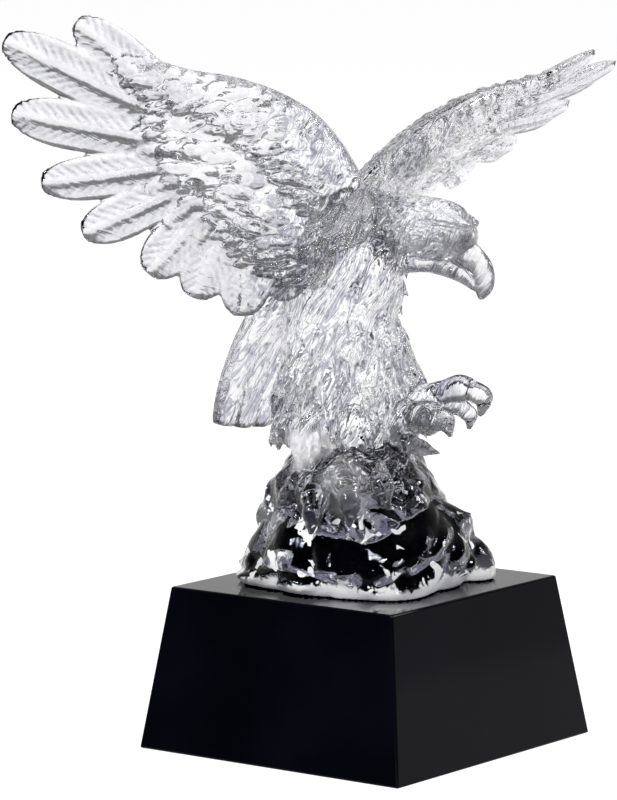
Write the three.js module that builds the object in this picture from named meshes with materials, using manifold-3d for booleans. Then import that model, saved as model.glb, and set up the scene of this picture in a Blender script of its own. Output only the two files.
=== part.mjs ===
import * as THREE from 'three';
import { mergeVertices } from 'three/addons/utils/BufferGeometryUtils.js';
import { RoundedBoxGeometry } from 'three/addons/geometries/RoundedBoxGeometry.js';
import Module from 'manifold-3d';

// A clear crystal eagle landing on a craggy rock, cast as one, on a square black plinth.
// Millimetres, +Z up. The origin is the middle of the plinth's underside. The eagle faces +X and
// its right side is towards -Y.

const wasm = await Module();
wasm.setup();

// Plinth
const plinthTop = 110;
const plinthFoot = 129;
const plinthHeight = 65;
const plinthEdge = 0.9;

// Clearance between the plinth's top and the flat underside of the casting
const seatGap = 0.3;

// The casting is a free form. Its places and sizes are drawn for a height of 228 above the plinth
// and are shares of that height, so the whole figure follows eagleHeight.
const eagleHeight = 228;
const drawnHeight = 228;
const share = eagleHeight / drawnHeight;

// Rock: the ledge of plinth left bare beside it, its reach from the middle in drawn units, and the
// swell and number of the rounded stones on it
const bareLedge = 9;
const rockReach = (plinthTop / 2 - bareLedge) / share;
const stoneSwell = 0.09;
const stonesRound = 8;
const stoneCourses = 4;

// Fan of one wing. Feathers turn about the wrist, from 0 along the arm to 90 straight down.
const wrist = { reach: 40, drop: 0 };
const flightStart = 0.34;
const flightDepth = 2.7;
// Feathers longer than this take one more step along their length
const longFeather = 70;
const flightFeathers = [
  { turn: 135, length: 60, width: 10 },
  { turn: 116, length: 63, width: 10.4 },
  { turn: 96, length: 59, width: 10.6 },
  { turn: 75, length: 60, width: 10.4 },
  { turn: 50, length: 72, width: 9 },
  { turn: 32.5, length: 83, width: 8.6 },
  { turn: 15.5, length: 96, width: 9.4 },
  { turn: 1, length: 108, width: 9.6 },
  { turn: -11, length: 88, width: 8.8 },
];

// Rows of shorter feathers laid over the roots of the flight feathers
const covertRows = [
  { count: 7, from: 126, to: 0, start: 0.2, length: [46, 37, 50], width: 8.8, depth: 4.6 },
  { count: 5, from: 130, to: 8, start: 0.2, length: [33, 24, 34], width: 8.4, depth: 6.2 },
];

const nearWing = {
  root: [-2, -14.4, 152.7],
  reach: [-0.459, -0.763, 0.454],
  drop: [-0.338, -0.322, -0.884],
  belly: 1,
  size: 1,
  bow: -4,
};

const farWing = {
  root: [-4, 16, 158],
  reach: [0.088, 0.932, 0.374],
  drop: [-0.703, 0.309, -0.641],
  belly: -1,
  size: 0.95,
  bow: 8,
};

const crystal = new THREE.MeshStandardMaterial({
  color: 0xe9ebf1,
  roughness: 0.04,
  metalness: 0,
  transparent: true,
  opacity: 0.4,
});
const blackGlass = new THREE.MeshStandardMaterial({
  color: 0x07080c,
  roughness: 0.06,
  metalness: 0,
});

/** A place on the figure, above the middle of the plinth's top. */
function spot(x, y, z) {
  return new THREE.Vector3(x, y, z).multiplyScalar(share);
}

/** A closed solid from a three.js geometry, ready to be joined or cut. */
function toSolid(geometry) {
  const shell = geometry.clone();
  shell.deleteAttribute('normal');
  shell.deleteAttribute('uv');
  const merged = mergeVertices(shell, 1e-4);
  return new wasm.Manifold(
    new wasm.Mesh({
      numProp: 3,
      vertProperties: merged.attributes.position.array,
      triVerts: Uint32Array.from(merged.index.array),
    }),
  );
}

/** A three.js geometry from a joined solid. */
function toGeometry(solid) {
  const mesh = solid.getMesh();
  const geometry = new THREE.BufferGeometry();
  geometry.setAttribute('position', new THREE.BufferAttribute(mesh.vertProperties, 3));
  geometry.setIndex(new THREE.BufferAttribute(mesh.triVerts, 1));
  geometry.computeVertexNormals();
  return geometry;
}

/**
 * A closed form swept along a smooth path. Each station is a place with a half width and a half
 * depth there. The depth lies towards `face`. `blunt` rounds the ends, from 1 pointed to 0 square,
 * `keel` above 1 thins the sides to a ridge along the middle, and `carve` scales the section at a
 * share of the path and an angle round it.
 */
function sweep({ stations, face, sides = 8, steps = 6, blunt = 0.5, keel = 1, carve }) {
  const path = new THREE.CatmullRomCurve3(stations.map(([x, y, z]) => spot(x, y, z)));
  const girth = new THREE.CatmullRomCurve3(
    stations.map((station) => spot(station[3], station[4], 0)),
  );
  const geometry = new THREE.SphereGeometry(1, sides, steps);
  const vertices = geometry.attributes.position;
  const towards = new THREE.Vector3(...face);
  for (let i = 0; i < vertices.count; i += 1) {
    const unit = new THREE.Vector3().fromBufferAttribute(vertices, i);
    const place = THREE.MathUtils.clamp((1 - unit.y) / 2, 0, 1);
    const ring = Math.hypot(unit.x, unit.z);
    const angle = Math.atan2(unit.z, unit.x);
    const tangent = path.getTangent(place);
    const up = towards.clone().addScaledVector(tangent, -towards.dot(tangent)).normalize();
    const side = up.clone().cross(tangent);
    const size = girth.getPoint(place);
    const cut = (ring < 1e-6 ? 0 : ring ** blunt) * (carve ? carve(place, angle) : 1);
    const rise = Math.sign(Math.sin(angle)) * Math.abs(Math.sin(angle)) ** keel;
    const point = path.getPoint(place);
    point.addScaledVector(side, size.x * cut * Math.cos(angle));
    point.addScaledVector(up, size.y * cut * rise);
    vertices.setXYZ(i, point.x, point.y, point.z);
  }
  return toSolid(geometry);
}

/** Swell of staggered rounded stones at a share of the rock's height and a bearing. */
function stones(height, bearing) {
  const course = height * stoneCourses + 0.3 * Math.sin(bearing * 3 + 1);
  const row = Math.floor(course);
  const turn = (bearing / (2 * Math.PI)) * stonesRound;
  const along = turn + 0.45 * row + 0.25 * Math.sin(turn * 2.1 + row * 1.7);
  const across = 2 * Math.abs(along - Math.floor(along) - 0.5);
  const upward = 2 * Math.abs(course - row - 0.5);
  return 1 + stoneSwell * (1 - across ** 2) * (1 - upward ** 2);
}

/** The rock, cut flat underneath. Its foot runs out to corners of their own reach. */
function rock() {
  const boulderBearing = 0.74;
  const corners = [
    { bearing: -0.72, swell: 0.3, spread: 0.42, low: 4 },
    { bearing: 0.8, swell: 0.05, spread: 0.34, low: 6 },
    { bearing: -2.5, swell: 0.26, spread: 0.42, low: 2.5 },
    { bearing: 2.3, swell: 0.42, spread: 0.7, low: 1.6 },
  ];
  const courses = [
    { rise: 60, breadth: 0.26, lean: -0.04 },
    { rise: 52, breadth: 0.56, lean: -0.04 },
    { rise: 43, breadth: 0.66, lean: -0.045 },
    { rise: 33, breadth: 0.73, lean: -0.05 },
    { rise: 22, breadth: 0.84, lean: -0.035 },
    { rise: 12, breadth: 0.96, lean: -0.01 },
    { rise: 3, breadth: 1, lean: 0 },
    { rise: -9, breadth: 0.9, lean: 0 },
  ];
  const body = sweep({
    stations: courses.map(({ rise, breadth, lean }) => [
      lean * rockReach,
      lean * rockReach,
      rise,
      breadth * rockReach,
      breadth * rockReach,
    ]),
    face: [0, 1, 0],
    sides: 24,
    steps: 10,
    blunt: 0.35,
    carve: (place, angle) => {
      const bearing = Math.atan2(Math.sin(angle), -Math.cos(angle));
      let foot = 1;
      for (const corner of corners) {
        const away = Math.atan2(
          Math.sin(bearing - corner.bearing),
          Math.cos(bearing - corner.bearing),
        );
        foot += corner.swell * place ** corner.low * Math.exp(-((away / corner.spread) ** 2));
      }
      return foot * stones(place, bearing);
    },
  });
  const boulder = sweep({
    stations: [
      { out: 0.56, rise: 27, breadth: 0.07 },
      { out: 0.73, rise: 16, breadth: 0.15 },
      { out: 0.93, rise: 5, breadth: 0.22 },
      { out: 0.91, rise: -10, breadth: 0.22 },
    ].map(({ out, rise, breadth }) => [
      out * rockReach * Math.cos(boulderBearing),
      out * rockReach * Math.sin(boulderBearing),
      rise,
      breadth * rockReach,
      breadth * rockReach,
    ]),
    face: [0, 1, 0],
    sides: 9,
    steps: 6,
  });
  const room = new THREE.BoxGeometry(4 * rockReach, 4 * rockReach, eagleHeight);
  room.translate(0, 0, eagleHeight / 2);
  return body.add(boulder).intersect(toSolid(room));
}

/** Turns a wing's own reach, drop and belly distances into places on the figure. */
function wingFrame(wing) {
  const reach = new THREE.Vector3(...wing.reach).normalize();
  const drop = new THREE.Vector3(...wing.drop);
  drop.addScaledVector(reach, -drop.dot(reach)).normalize();
  const belly = reach.clone().cross(drop).multiplyScalar(wing.belly);
  const place = (along, down, out) => {
    const bowed = out + wing.bow * (along / 100) ** 2;
    return new THREE.Vector3(...wing.root)
      .addScaledVector(reach, along * wing.size)
      .addScaledVector(drop, down * wing.size)
      .addScaledVector(belly, bowed * wing.size)
      .toArray();
  };
  return { place, belly: belly.toArray(), size: wing.size };
}

/** One feather of a wing's fan, a paddle with a raised shaft. */
function wingFeather(frame, { turn, length, width, depth, start, lift = 0, steps = 6, sides = 8 }) {
  const heading = THREE.MathUtils.degToRad(turn);
  const outline = [
    { at: start, wide: 0.7, out: 0 },
    { at: start + (1 - start) * 0.35, wide: 0.95, out: 0.6 },
    { at: start + (1 - start) * 0.7, wide: 1.06, out: 0.9 },
    { at: 1, wide: 0.9, out: -0.6 },
  ];
  const stations = outline.map(({ at, wide, out }) => {
    const along = wrist.reach + Math.cos(heading) * length * at;
    const down = wrist.drop + Math.sin(heading) * length * at;
    const spotAt = frame.place(along, down, lift + out);
    return [...spotAt, width * wide * frame.size, depth * frame.size];
  });
  return sweep({ stations, face: frame.belly, sides, steps, keel: 1.6, blunt: 0.55 });
}

/** A wing: flight feathers, two rows of coverts over their roots, and the fleshy arm. */
function wing(shape) {
  const frame = wingFrame(shape);
  const solids = [];
  for (const feather of flightFeathers) {
    const steps = feather.length > longFeather ? 6 : 5;
    solids.push(wingFeather(frame, { ...feather, depth: flightDepth, start: flightStart, steps }));
  }
  for (const row of covertRows) {
    for (let i = 0; i < row.count; i += 1) {
      const across = i / (row.count - 1);
      const turn = THREE.MathUtils.lerp(row.from, row.to, across);
      const [inner, middle, outer] = row.length;
      const length = THREE.MathUtils.lerp(
        THREE.MathUtils.lerp(inner, middle, across),
        THREE.MathUtils.lerp(middle, outer, across),
        across,
      );
      solids.push(
        wingFeather(frame, {
          turn,
          length,
          width: row.width,
          depth: row.depth,
          start: row.start,
          steps: 4,
          sides: 6,
        }),
      );
    }
  }
  const arm = [
    { reach: -14, drop: 4, wide: 16, deep: 11 },
    { reach: 8, drop: -3, wide: 18, deep: 10 },
    { reach: 28, drop: -12, wide: 16, deep: 8.5 },
    { reach: 52, drop: -14, wide: 13.5, deep: 6.5 },
    { reach: 78, drop: -11, wide: 10.5, deep: 5 },
    { reach: 106, drop: -13, wide: 6, deep: 3 },
  ];
  const pad = [
    { reach: -12, drop: 26, wide: 15, deep: 10 },
    { reach: 12, drop: 20, wide: 17, deep: 8 },
    { reach: 38, drop: 9, wide: 18, deep: 6.5 },
    { reach: 60, drop: 3, wide: 16, deep: 5.5 },
    { reach: 80, drop: 0, wide: 12, deep: 4.5 },
  ];
  for (const form of [arm, pad]) {
    const stations = form.map(({ reach, drop, wide, deep }) => [
      ...frame.place(reach, drop, 0),
      wide * frame.size,
      deep * frame.size,
    ]);
    solids.push(sweep({ stations, face: frame.belly, sides: 10, steps: 8 }));
  }
  return solids;
}

/** Body and neck in one sweep, from the rock up to the nape. */
function trunk() {
  return sweep({
    stations: [
      [-4, 0, 42, 20, 22],
      [-8, 0, 58, 27, 28],
      [-10, 0, 76, 25, 26],
      [-11.5, 0, 94, 22.5, 23.5],
      [-9.5, 0, 112, 21, 21.5],
      [-2, 2, 128, 19, 21],
      [7, 5, 139, 14, 16],
      [15, 8, 147, 11, 11],
    ],
    face: [1, 0.1, 0.3],
    sides: 12,
    steps: 11,
    blunt: 0.4,
  });
}

/** The shoulders, from one wing's root across the back to the other's. */
function shoulders() {
  return sweep({
    stations: [
      [-8, -20, 148, 12, 11],
      [-6, -8, 143, 16, 14],
      [-6, 8, 144, 16, 14],
      [-10, 24, 152, 13, 11],
      [-12, 36, 160, 9, 7],
    ],
    face: [0, 0, 1],
    sides: 10,
    steps: 8,
  });
}

/** Rows of pointed locks that lie down the neck, the breast and the thighs. */
function plumage() {
  const rows = [
    { middle: [5, 4, 139], round: 8, reach: 10, tip: [-6, 13, -17] },
    { middle: [-4, 2, 124], round: 8, reach: 14.5, tip: [-5, 18.5, -19] },
    { middle: [-8.5, 0, 107], round: 8, reach: 17.5, tip: [-2, 23, -21] },
    { middle: [-10.5, 0, 90], round: 9, reach: 19, tip: [0, 25.5, -22] },
    { middle: [-9.5, 0, 73], round: 8, reach: 21.5, tip: [1, 27.5, -21] },
  ];
  const locks = [];
  rows.forEach((row, level) => {
    for (let i = 0; i < row.round; i += 1) {
      const bearing = ((i + (level % 2) / 2) / row.round) * 2 * Math.PI;
      const out = new THREE.Vector3(Math.cos(bearing), Math.sin(bearing), 0);
      const [x, y, z] = row.middle;
      const [shift, spread, fall] = row.tip;
      const half = (row.reach + spread) / 2 + 1.5;
      locks.push(
        sweep({
          stations: [
            [x + out.x * row.reach, y + out.y * row.reach, z + 3, 5, 2.4],
            [x + shift / 2 + out.x * half, y + out.y * half, z + fall * 0.5, 6.4, 2.8],
            [x + shift + out.x * spread, y + out.y * spread, z + fall, 2, 1.6],
          ],
          face: out.toArray(),
          sides: 5,
          steps: 4,
          blunt: 0.7,
        }),
      );
    }
  });
  return locks;
}

/** Skull, brows and the hooked beak. */
function head() {
  const ahead = [0.94, 0.34, 0];
  const left = [-0.34, 0.94, 0];
  const skull = sweep({
    stations: [
      [8, 5, 144, 9, 10],
      [19, 9, 143, 12, 12.2],
      [30, 13, 141, 12, 12],
      [39, 16.4, 140, 9, 9.4],
      [42.8, 17.7, 141, 6, 4.4],
    ],
    face: [0, 0, 1],
    sides: 10,
    steps: 8,
  });
  const beak = sweep({
    stations: [
      [30, 13, 133, 6.5, 7],
      [36.4, 15.2, 132.8, 6, 6],
      [41.4, 17, 130.4, 5, 4.8],
      [44.8, 18.3, 125, 4, 4.9],
      [45.6, 18.6, 119, 3.2, 4.5],
      [44.2, 18.1, 113.6, 1.8, 2.4],
    ],
    face: [...ahead.slice(0, 2), 0.5],
    sides: 10,
    steps: 10,
    blunt: 0.6,
  });
  const jaw = sweep({
    stations: [
      [11, 5.6, 126, 6, 6],
      [20, 9, 128.6, 7, 5],
      [29.5, 12.4, 127, 6, 4],
      [38.5, 15.7, 122.4, 4, 3],
      [43, 17.5, 117.4, 2.6, 2],
    ],
    face: [0, 0, 1],
    sides: 8,
    steps: 6,
  });
  const brows = [-1, 1].map((side) =>
    sweep({
      stations: [
        [18 + left[0] * 8 * side, 8 + left[1] * 8 * side, 147.5, 3, 2.4],
        [30 + left[0] * 10 * side, 13 + left[1] * 10 * side, 146.5, 3.6, 2.8],
        [42.2 + left[0] * 5 * side, 17.5 + left[1] * 5 * side, 143, 3.2, 2.4],
      ],
      face: [0, 0, 1],
      sides: 6,
      steps: 5,
    }),
  );
  return [skull, beak, jaw, ...brows];
}

/** The tail: a fan of square-ended feathers hanging behind the legs. */
function tail() {
  const count = 5;
  const feathers = [];
  for (let i = 0; i < count; i += 1) {
    const across = (i / (count - 1)) * 2 - 1;
    const lateral = new THREE.Vector3(0.14, 0.99, 0);
    const step = Math.abs(across);
    const stations = [
      [-26, 0, 118, 7, 6, 9],
      [-42, 1, 98, 8, 4.6, 13],
      [-50, 2, 77, 8, 3.8, 17.5],
      [-54, 2, 57.5, 7.4, 3.2, 21],
    ].map(([x, y, z, wide, deep, spread]) => [
      x + lateral.x * across * spread,
      y + lateral.y * across * spread,
      z + 2.5 * step * step,
      wide,
      deep,
    ]);
    feathers.push(sweep({ stations, face: [-1, 0.1, -0.4], steps: 6, blunt: 0.2, keel: 1.2 }));
  }
  const web = sweep({
    stations: [
      [-28, 0, 114, 13, 6],
      [-42, 1, 97, 19, 4],
      [-50, 2, 77, 23.5, 3],
      [-54, 2, 59, 26.5, 2.4],
    ],
    face: [-1, 0.1, -0.4],
    sides: 8,
    steps: 7,
    blunt: 0.16,
  });
  feathers.push(web);
  return feathers;
}

/** A scaly toe with its hooked claw. */
function toe(stations, face) {
  const knuckles = (place) => 1 + 0.1 * Math.cos(place * 24);
  return sweep({ stations, face, sides: 6, steps: 6, blunt: 0.45, carve: knuckles });
}

/** Both legs: the right one stands on the rock, the left one reaches out with open talons. */
function legs() {
  const up = [0, 0, 1];
  const across = [0, 1, 0];
  const thighs = [
    sweep({
      stations: [
        [-8, -10, 102, 12, 13],
        [-14, -15, 84, 12, 13],
        [-19, -18, 68, 9, 9],
      ],
      face: across,
      sides: 10,
      steps: 7,
    }),
    sweep({
      stations: [
        [-6, 10, 98, 12, 13],
        [5.5, 10, 83, 11, 12],
        [14, 9, 70, 8, 8],
      ],
      face: across,
      sides: 10,
      steps: 7,
    }),
  ];
  const shank = sweep({
    stations: [
      [-18, -18, 68, 6.5, 6.5],
      [-9, -23, 53, 6.5, 6.5],
      [4, -26, 44, 7, 7],
    ],
    face: across,
    sides: 8,
    steps: 6,
  });
  const raised = [
    [
      [10, 8, 66, 7, 7],
      [21, 10, 72, 6, 6],
      [32, 12, 77, 5.4, 5.4],
      [42, 13, 78.6, 5, 5],
      [48.5, 14, 75, 4.4, 4.4],
      [47, 14, 68, 2, 2],
    ],
    [
      [8, 5, 65, 8, 8],
      [19, 4, 66, 7.4, 7.4],
      [30, 3, 67, 6.4, 6.4],
      [38, 3, 66, 4.6, 4.6],
      [41, 3, 60.5, 1.6, 1.6],
    ],
    [
      [8, 12, 66, 6, 6],
      [18, 18, 70, 5, 5],
      [26, 23, 71, 4.6, 4.6],
      [33, 26, 66, 3.6, 3.6],
      [33, 26, 60, 1.4, 1.4],
    ],
    [
      [6, 4, 62, 6, 6],
      [14, 2, 58, 5, 5],
      [25, 1, 56, 4, 4],
      [37, 1, 54, 1.2, 1.2],
    ],
  ].map((stations) => toe(stations, up));
  const standing = [
    [
      [4, -26, 46, 6.5, 6.5],
      [13, -32, 46, 5.6, 5.6],
      [21, -37, 40, 5, 5],
      [24, -41, 29, 1.8, 1.8],
    ],
    [
      [4, -25, 47, 6.5, 6.5],
      [17, -24, 51, 5.4, 5.4],
      [28, -26, 46, 5, 5],
      [34, -29, 35, 1.8, 1.8],
    ],
    [
      [2, -27, 45, 6.5, 6.5],
      [4, -36, 42, 5.4, 5.4],
      [7, -42, 35, 4.8, 4.8],
      [8, -45, 25, 1.8, 1.8],
    ],
    [
      [2, -25, 44, 6, 6],
      [-10, -29, 41, 5, 5],
      [-18, -33, 33, 1.8, 1.8],
    ],
  ].map((stations) => toe(stations, up));
  return [...thighs, shank, ...raised, ...standing];
}

/** The whole casting as one solid. */
function casting() {
  const solids = [
    trunk(),
    shoulders(),
    ...plumage(),
    ...head(),
    ...tail(),
    ...legs(),
    ...wing(nearWing),
    ...wing(farWing),
  ];
  return toGeometry(solids.reduce((whole, solid) => whole.add(solid), rock()));
}

/** The plinth: a block with polished edges, narrower at the top than at the foot. */
function plinth() {
  const block = new RoundedBoxGeometry(plinthFoot, plinthFoot, plinthHeight, 1, plinthEdge);
  const vertices = block.attributes.position;
  for (let i = 0; i < vertices.count; i += 1) {
    const z = vertices.getZ(i) + plinthHeight / 2;
    const narrow = THREE.MathUtils.lerp(1, plinthTop / plinthFoot, z / plinthHeight);
    vertices.setXYZ(i, vertices.getX(i) * narrow, vertices.getY(i) * narrow, z);
  }
  return toGeometry(toSolid(block));
}

const eagle = new THREE.Mesh(casting(), crystal);
eagle.name = 'crystal_eagle';
eagle.position.z = plinthHeight + seatGap;

const base = new THREE.Mesh(plinth(), blackGlass);
base.name = 'black_plinth';

const group = new THREE.Group();
group.add(base, eagle);

export default group;
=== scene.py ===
"""Looks of a clear crystal eagle that lands on a craggy rock, on a plinth of black glass."""

import logging
import math
from collections.abc import Callable, Sequence
from dataclasses import dataclass, field
from enum import Enum

import bpy
import numpy as np
from mathutils import Matrix, Vector


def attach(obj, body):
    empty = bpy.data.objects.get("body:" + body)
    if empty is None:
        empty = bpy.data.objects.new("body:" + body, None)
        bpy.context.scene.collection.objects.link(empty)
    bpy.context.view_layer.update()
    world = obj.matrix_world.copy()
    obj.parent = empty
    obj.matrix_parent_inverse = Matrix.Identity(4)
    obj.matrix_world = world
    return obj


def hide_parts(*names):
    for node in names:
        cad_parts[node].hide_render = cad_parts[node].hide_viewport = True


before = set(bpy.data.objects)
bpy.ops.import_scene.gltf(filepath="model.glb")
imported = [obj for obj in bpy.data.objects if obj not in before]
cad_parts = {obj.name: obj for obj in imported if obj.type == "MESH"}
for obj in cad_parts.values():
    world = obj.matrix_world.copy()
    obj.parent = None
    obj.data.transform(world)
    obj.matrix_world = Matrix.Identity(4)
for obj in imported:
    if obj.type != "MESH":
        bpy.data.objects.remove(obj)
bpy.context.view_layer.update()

MM = 0.001
LOG = logging.getLogger("eagle")

Row = Sequence[float]


class Node(Enum):
    """The CAD nodes that the pieces here replace."""

    EAGLE = "crystal_eagle"
    PLINTH = "black_plinth"


class Slot(Enum):
    """The record's material slots."""

    CRYSTAL = "clear_crystal"
    BLACK = "black_glass"


def smoothstep(values: np.ndarray, low: float, high: float) -> np.ndarray:
    """Smooth step of values from 0 at low to 1 at high."""
    share = np.clip((values - low) / (high - low), 0.0, 1.0)
    return share * share * (3.0 - 2.0 * share)


def unit(vectors: np.ndarray) -> np.ndarray:
    """Vectors brought to length one."""
    return vectors / np.maximum(np.linalg.norm(vectors, axis=-1, keepdims=True), 1e-9)


def read(items: bpy.types.bpy_prop_collection, name: str) -> np.ndarray:
    """Vectors read from a mesh's items, one row each."""
    values = np.zeros(len(items) * 3, np.float32)
    items.foreach_get(name, values)
    return values.reshape(-1, 3)


def store(mesh: bpy.types.Mesh, name: str, values: np.ndarray) -> None:
    """Stores a number or a vector for each point of a mesh.

    Args:
        mesh: the mesh that gets the attribute.
        name: the attribute's name.
        values: one number or one row for each point.
    """
    kind, part = ("FLOAT", "value") if values.ndim == 1 else ("FLOAT_VECTOR", "vector")
    attribute = mesh.attributes.new(name, kind, "POINT")
    attribute.data.foreach_set(part, values.astype(np.float32).ravel())


def placed(name: str, data: bpy.types.ID) -> bpy.types.Object:
    """A new object in the scene."""
    made = bpy.data.objects.new(name, data)
    bpy.context.scene.collection.objects.link(made)
    return made


def plain_copy(source: bpy.types.Object, name: str) -> bpy.types.Object:
    """A plain mesh object of what a modified object shows; the source is removed.

    Args:
        source: the object with its modifiers.
        name: the new object's name.

    Returns:
        The new object.
    """
    bpy.context.view_layer.update()
    evaluated = source.evaluated_get(bpy.context.evaluated_depsgraph_get())
    mesh = bpy.data.meshes.new_from_object(evaluated)
    mesh.name = name
    source.modifiers.clear()
    bpy.data.objects.remove(source)
    return placed(name, mesh)


@dataclass
class SmoothCurve:
    """A centripetal curve through its points."""

    points: np.ndarray

    def at(self, shares: np.ndarray) -> np.ndarray:
        """Places on the curve.

        Args:
            shares: how far along the curve each place is, from 0 to 1.

        Returns:
            One row for each share.
        """
        points = np.asarray(self.points, float)
        run = np.clip(shares, 0.0, 1.0) * (len(points) - 1)
        index = np.minimum(run.astype(int), len(points) - 2)
        ahead = np.vstack([points[2:], 2 * points[-1] - points[-2]])
        behind = np.vstack([2 * points[0] - points[1], points[:-1]])
        p0, p1, p2, p3 = behind[index], points[index], points[index + 1], ahead[index]
        d1 = self._knot(p1, p2, np.ones(len(index)))
        d0 = self._knot(p0, p1, d1[:, 0])
        d2 = self._knot(p2, p3, d1[:, 0])
        t1 = ((p1 - p0) / d0 - (p2 - p0) / (d0 + d1) + (p2 - p1) / d1) * d1
        t2 = ((p2 - p1) / d1 - (p3 - p1) / (d1 + d2) + (p3 - p2) / d2) * d1
        w = (run - index)[:, None]
        cubic = 2 * p1 - 2 * p2 + t1 + t2
        square = -3 * p1 + 3 * p2 - 2 * t1 - t2
        return p1 + w * (t1 + w * (square + w * cubic))

    @staticmethod
    def _knot(start: np.ndarray, end: np.ndarray, spare: np.ndarray) -> np.ndarray:
        """The knot distance between points, or spare where they meet."""
        gap = np.sqrt(np.linalg.norm(end - start, axis=1))
        return np.where(gap < 1e-4, spare, gap)[:, None]

    def direction(self, shares: np.ndarray) -> np.ndarray:
        """Unit directions along the curve at these shares."""
        step = 1e-4
        low, high = np.clip(shares - step, 0, 1), np.clip(shares + step, 0, 1)
        return unit(self.at(high) - self.at(low))


@dataclass
class Shell:
    """Closed skins kept as arrays, in millimetres above the plinth's top."""

    vertices: np.ndarray
    quads: np.ndarray
    triangles: np.ndarray
    flow: np.ndarray

    @staticmethod
    def joined(shells: Sequence["Shell"]) -> "Shell":
        """Several shells as one."""
        starts = np.cumsum([0] + [len(s.vertices) for s in shells[:-1]])
        return Shell(
            np.vstack([s.vertices for s in shells]),
            np.vstack([s.quads + n for s, n in zip(shells, starts)]),
            np.vstack([s.triangles + n for s, n in zip(shells, starts)]),
            np.vstack([s.flow for s in shells]),
        )

    def mesh(self, name: str) -> bpy.types.Mesh:
        """A Blender mesh in metres, in the frame's own place.

        Args:
            name: the new mesh's name.

        Returns:
            The mesh, with the attributes flow and growth on its points.
        """
        made = bpy.data.meshes.new(name)
        places = (self.vertices + [0, 0, Casting.seat]) * MM
        faces = self.quads.tolist() + self.triangles.tolist()
        made.from_pydata(places.tolist(), [], faces)
        made.update()
        store(made, "flow", self.flow)
        store(made, "growth", smoothstep(self.vertices[:, 2], Tufts.hem, Tufts.hem + Tufts.ripening))
        return made


@dataclass
class Sweep:
    """A closed form swept along a smooth path of stations (x, y, z, half width, half depth)."""

    stations: Sequence[Row]
    face: Row
    sides: int = 32
    steps: int = 32
    blunt: float = 0.5
    keel: float = 1.0
    carve: Callable[[np.ndarray, np.ndarray], np.ndarray] | None = None
    relief: Callable[[np.ndarray, np.ndarray], np.ndarray] | None = None
    nap: tuple[float, Row] = (1.0, (0.0, 0.0, 0.0))
    floor: float | None = None

    def shell(self) -> Shell:
        """The swept skin.

        Returns:
            A closed shell whose flow follows the path.
        """
        rows = np.asarray(self.stations, float)
        path, girth = SmoothCurve(rows[:, :3]), SmoothCurve(
            np.column_stack([rows[:, 3:5], np.zeros(len(rows))])
        )
        theta = np.linspace(0, math.pi, self.steps + 1)[1:-1]
        phi = np.arange(self.sides) * 2 * math.pi / self.sides
        place = np.repeat((1 - np.cos(theta)) / 2, self.sides)
        ring = np.repeat(np.sin(theta), self.sides)
        angle = np.tile(phi, len(theta))
        tangent = path.direction(place)
        towards = np.asarray(self.face, float)
        up = unit(towards - tangent * (tangent @ towards)[:, None])
        side = np.cross(up, tangent)
        size = girth.at(place)
        cut = ring**self.blunt
        if self.carve:
            cut = cut * self.carve(place, angle)
        sine = np.sin(angle)
        rise = np.sign(sine) * np.abs(sine) ** self.keel
        lateral = size[:, 0] * cut * np.cos(angle)
        out = size[:, 1] * cut * rise
        if self.relief:
            fade = np.minimum(1.0, 2.5 * np.abs(sine)) * np.minimum(1.0, 3 * ring)
            flat = np.abs(out)
            out = np.sign(sine) * np.maximum(flat + fade * self.relief(place, lateral), 0.4 * flat)
        points = path.at(place) + side * lateral[:, None] + up * out[:, None]
        ends = path.at(np.array([0.0, 1.0]))
        vertices = np.vstack([points, ends])
        if self.floor is not None:
            vertices[:, 2] = np.maximum(vertices[:, 2], self.floor)
        sign, fixed = self.nap
        flow = unit(sign * tangent + np.asarray(fixed, float))
        flow = np.vstack([flow, flow[:1], flow[-1:]])
        return Shell(vertices, *self._faces(len(theta)), flow)

    def _faces(self, rings: int) -> tuple[np.ndarray, np.ndarray]:
        """Quads between the rings and triangles round both ends."""
        ring, turn = np.meshgrid(np.arange(rings - 1), np.arange(self.sides), indexing="ij")
        after = (turn + 1) % self.sides
        a, b = ring * self.sides + turn, ring * self.sides + after
        quads = np.stack([a, b, b + self.sides, a + self.sides], -1).reshape(-1, 4)
        first, last = rings * self.sides, rings * self.sides + 1
        turn = np.arange(self.sides)
        after = (turn + 1) % self.sides
        end = (rings - 1) * self.sides
        low = np.stack([np.full(self.sides, first), after, turn], -1)
        high = np.stack([np.full(self.sides, last), end + turn, end + after], -1)
        return quads, np.vstack([low, high])


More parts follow.
